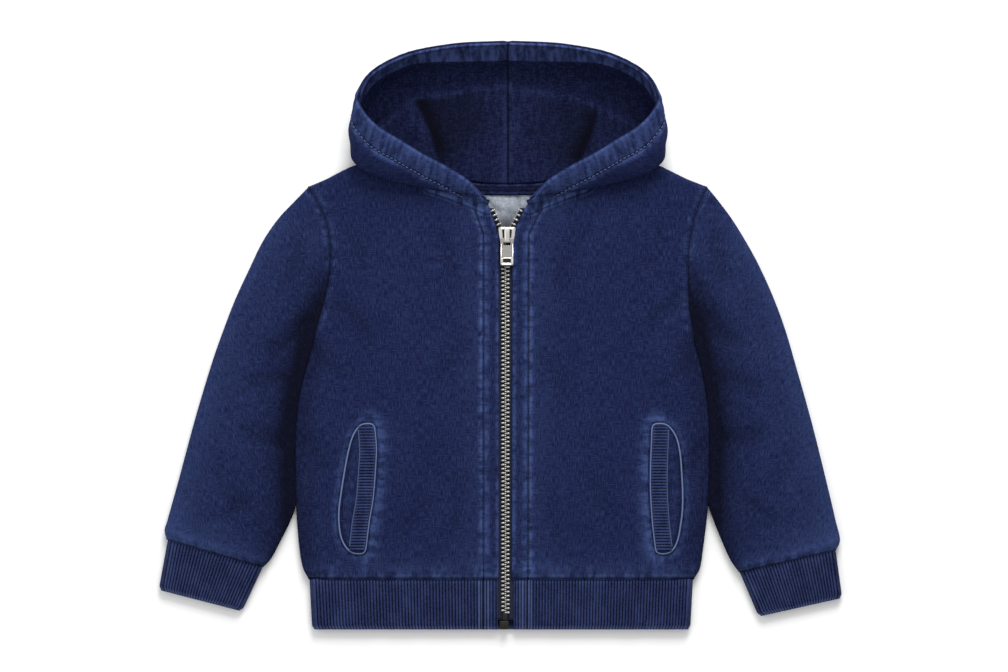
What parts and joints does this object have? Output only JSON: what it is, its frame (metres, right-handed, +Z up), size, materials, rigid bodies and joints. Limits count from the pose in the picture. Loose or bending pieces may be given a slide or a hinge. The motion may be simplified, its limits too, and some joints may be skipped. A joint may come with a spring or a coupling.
{
  "type": "toddler zip hoodie laid flat",
  "caption": "Toddler's hooded zip jacket in indigo fleece, laid flat on its back, with rib cuffs and hem, welt pockets and a swinging pull tab.",
  "frame": {"origin": "on the surface that the garment lies on, under the middle of the back, on the line of the zip", "axes": "+X to the right as seen from above, +Y from the hem towards the hood, +Z up off the surface"},
  "size_m": [0.5855, 0.5055, 0.0332],
  "materials": {
    "indigo_fleece": "brushed loopback fleece, garment washed, pale at the seams",
    "indigo_rib": "rib knit, garment washed",
    "indigo_jersey": "plain jersey",
    "navy_tape": "woven zip tape",
    "nickel": "aged nickel, satin"
  },
  "bodies": {
    "hoodie": {"back": "indigo_fleece", "front_left": "indigo_fleece", "front_right": "indigo_fleece", "sleeve_left": "indigo_fleece", "sleeve_right": "indigo_fleece", "hood_left": "indigo_fleece", "hood_right": "indigo_fleece", "pocket_facing_left": "indigo_fleece", "pocket_facing_right": "indigo_fleece", "cuff_left": "indigo_rib", "cuff_right": "indigo_rib", "waistband": "indigo_rib", "pocket_welt_left": "indigo_rib", "pocket_welt_right": "indigo_rib", "hood_lining_left": "indigo_jersey", "hood_lining_right": "indigo_jersey", "neck_tape": "indigo_jersey", "zip_tape_left": "navy_tape", "zip_tape_right": "navy_tape", "zip_chain": "nickel", "zip_row_left": "nickel", "zip_row_right": "nickel", "zip_box": "nickel", "zip_slider": "nickel"},
    "pull_tab": {"zip_pull_tab": "nickel"}
  },
  "joints": [
    {"name": "pull_tab_swing", "type": "hinge", "parent": "hoodie", "child": "pull_tab", "pos_m": [0.0017, 0.1382, 0.0115], "axis": [-1, 0, 0], "range_deg": [0, 130]}
  ]
}
